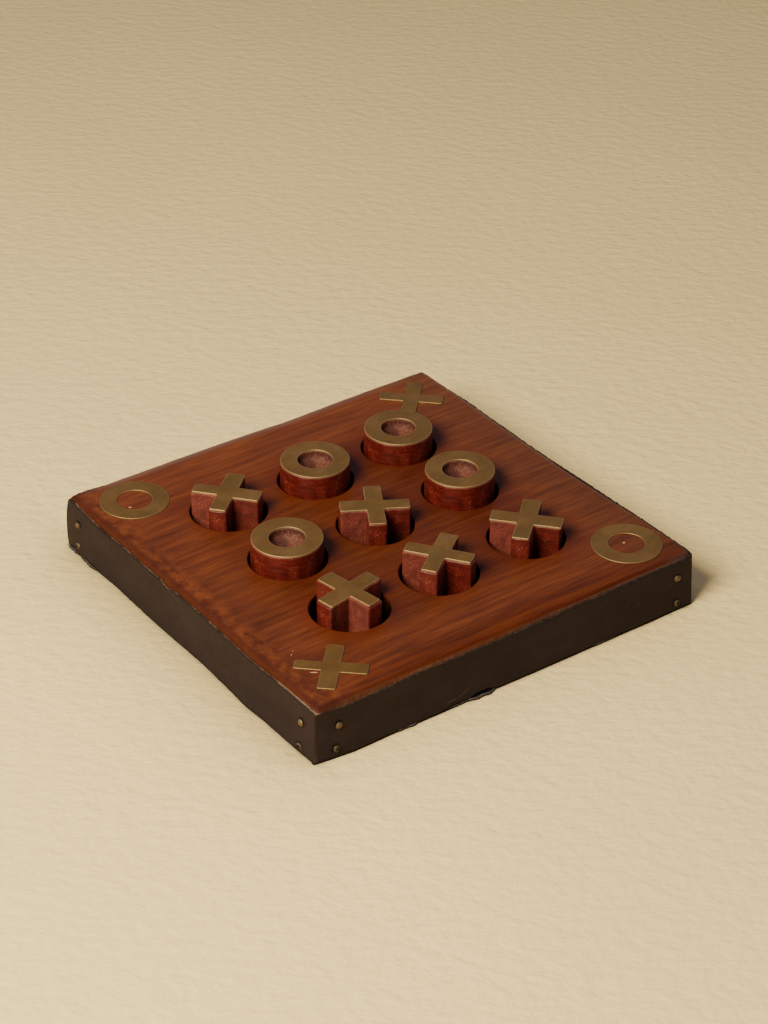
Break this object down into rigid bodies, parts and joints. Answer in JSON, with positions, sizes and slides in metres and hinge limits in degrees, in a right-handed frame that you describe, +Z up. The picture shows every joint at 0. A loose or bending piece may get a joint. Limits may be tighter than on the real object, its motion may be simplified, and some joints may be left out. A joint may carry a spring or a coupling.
{
  "type": "tic-tac-toe board",
  "caption": "Square wooden tic-tac-toe board with round holes holding brass-topped crosses and rings, leather-covered sides and brass corner inlays.",
  "frame": {"origin": "middle of the underside of the lining, on the surface that the board lies on", "axes": "+Z up through the board's thickness, +X along the front side strip, +Y from the front side strip to the back one"},
  "size_m": [0.1916, 0.1916, 0.0352],
  "materials": {
    "board_wood": "satin varnish over a mahogany stain",
    "piece_wood": "satin varnish on turned wood",
    "plate_brass": "aged matte brass",
    "pin_brass": "aged brass",
    "strip_leather": "matte dark brown",
    "lining_leather": "matte, rough cut edge"
  },
  "bodies": {
    "board_body": {"board": "board_wood", "base_lining": "lining_leather", "front_side_strip": "strip_leather", "right_side_strip": "strip_leather", "back_side_strip": "strip_leather", "left_side_strip": "strip_leather", "side_pins": "pin_brass", "front_left_cross_inlay": "plate_brass", "back_right_cross_inlay": "plate_brass", "back_left_ring_inlay": "plate_brass", "front_right_ring_inlay": "plate_brass"},
    "cross_1": {"cross_1_wood": "piece_wood", "cross_1_brass": "plate_brass"},
    "cross_2": {"cross_2_wood": "piece_wood", "cross_2_brass": "plate_brass"},
    "cross_3": {"cross_3_wood": "piece_wood", "cross_3_brass": "plate_brass"},
    "cross_4": {"cross_4_wood": "piece_wood", "cross_4_brass": "plate_brass"},
    "cross_5": {"cross_5_wood": "piece_wood", "cross_5_brass": "plate_brass"},
    "ring_1": {"ring_1_wood": "piece_wood", "ring_1_brass": "plate_brass"},
    "ring_2": {"ring_2_wood": "piece_wood", "ring_2_brass": "plate_brass"},
    "ring_3": {"ring_3_wood": "piece_wood", "ring_3_brass": "plate_brass"},
    "ring_4": {"ring_4_wood": "piece_wood", "ring_4_brass": "plate_brass"}
  },
  "joints": [
    {"name": "cross_1_lift", "type": "slide", "parent": "board_body", "child": "cross_1", "axis": [0, 0, 1], "range_m": [0, 0.03]},
    {"name": "cross_2_lift", "type": "slide", "parent": "board_body", "child": "cross_2", "axis": [0, 0, 1], "range_m": [0, 0.03]},
    {"name": "cross_3_lift", "type": "slide", "parent": "board_body", "child": "cross_3", "axis": [0, 0, 1], "range_m": [0, 0.03]},
    {"name": "cross_4_lift", "type": "slide", "parent": "board_body", "child": "cross_4", "axis": [0, 0, 1], "range_m": [0, 0.03]},
    {"name": "cross_5_lift", "type": "slide", "parent": "board_body", "child": "cross_5", "axis": [0, 0, 1], "range_m": [0, 0.03]},
    {"name": "ring_1_lift", "type": "slide", "parent": "board_body", "child": "ring_1", "axis": [0, 0, 1], "range_m": [0, 0.03]},
    {"name": "ring_2_lift", "type": "slide", "parent": "board_body", "child": "ring_2", "axis": [0, 0, 1], "range_m": [0, 0.03]},
    {"name": "ring_3_lift", "type": "slide", "parent": "board_body", "child": "ring_3", "axis": [0, 0, 1], "range_m": [0, 0.03]},
    {"name": "ring_4_lift", "type": "slide", "parent": "board_body", "child": "ring_4", "axis": [0, 0, 1], "range_m": [0, 0.03]}
  ]
}
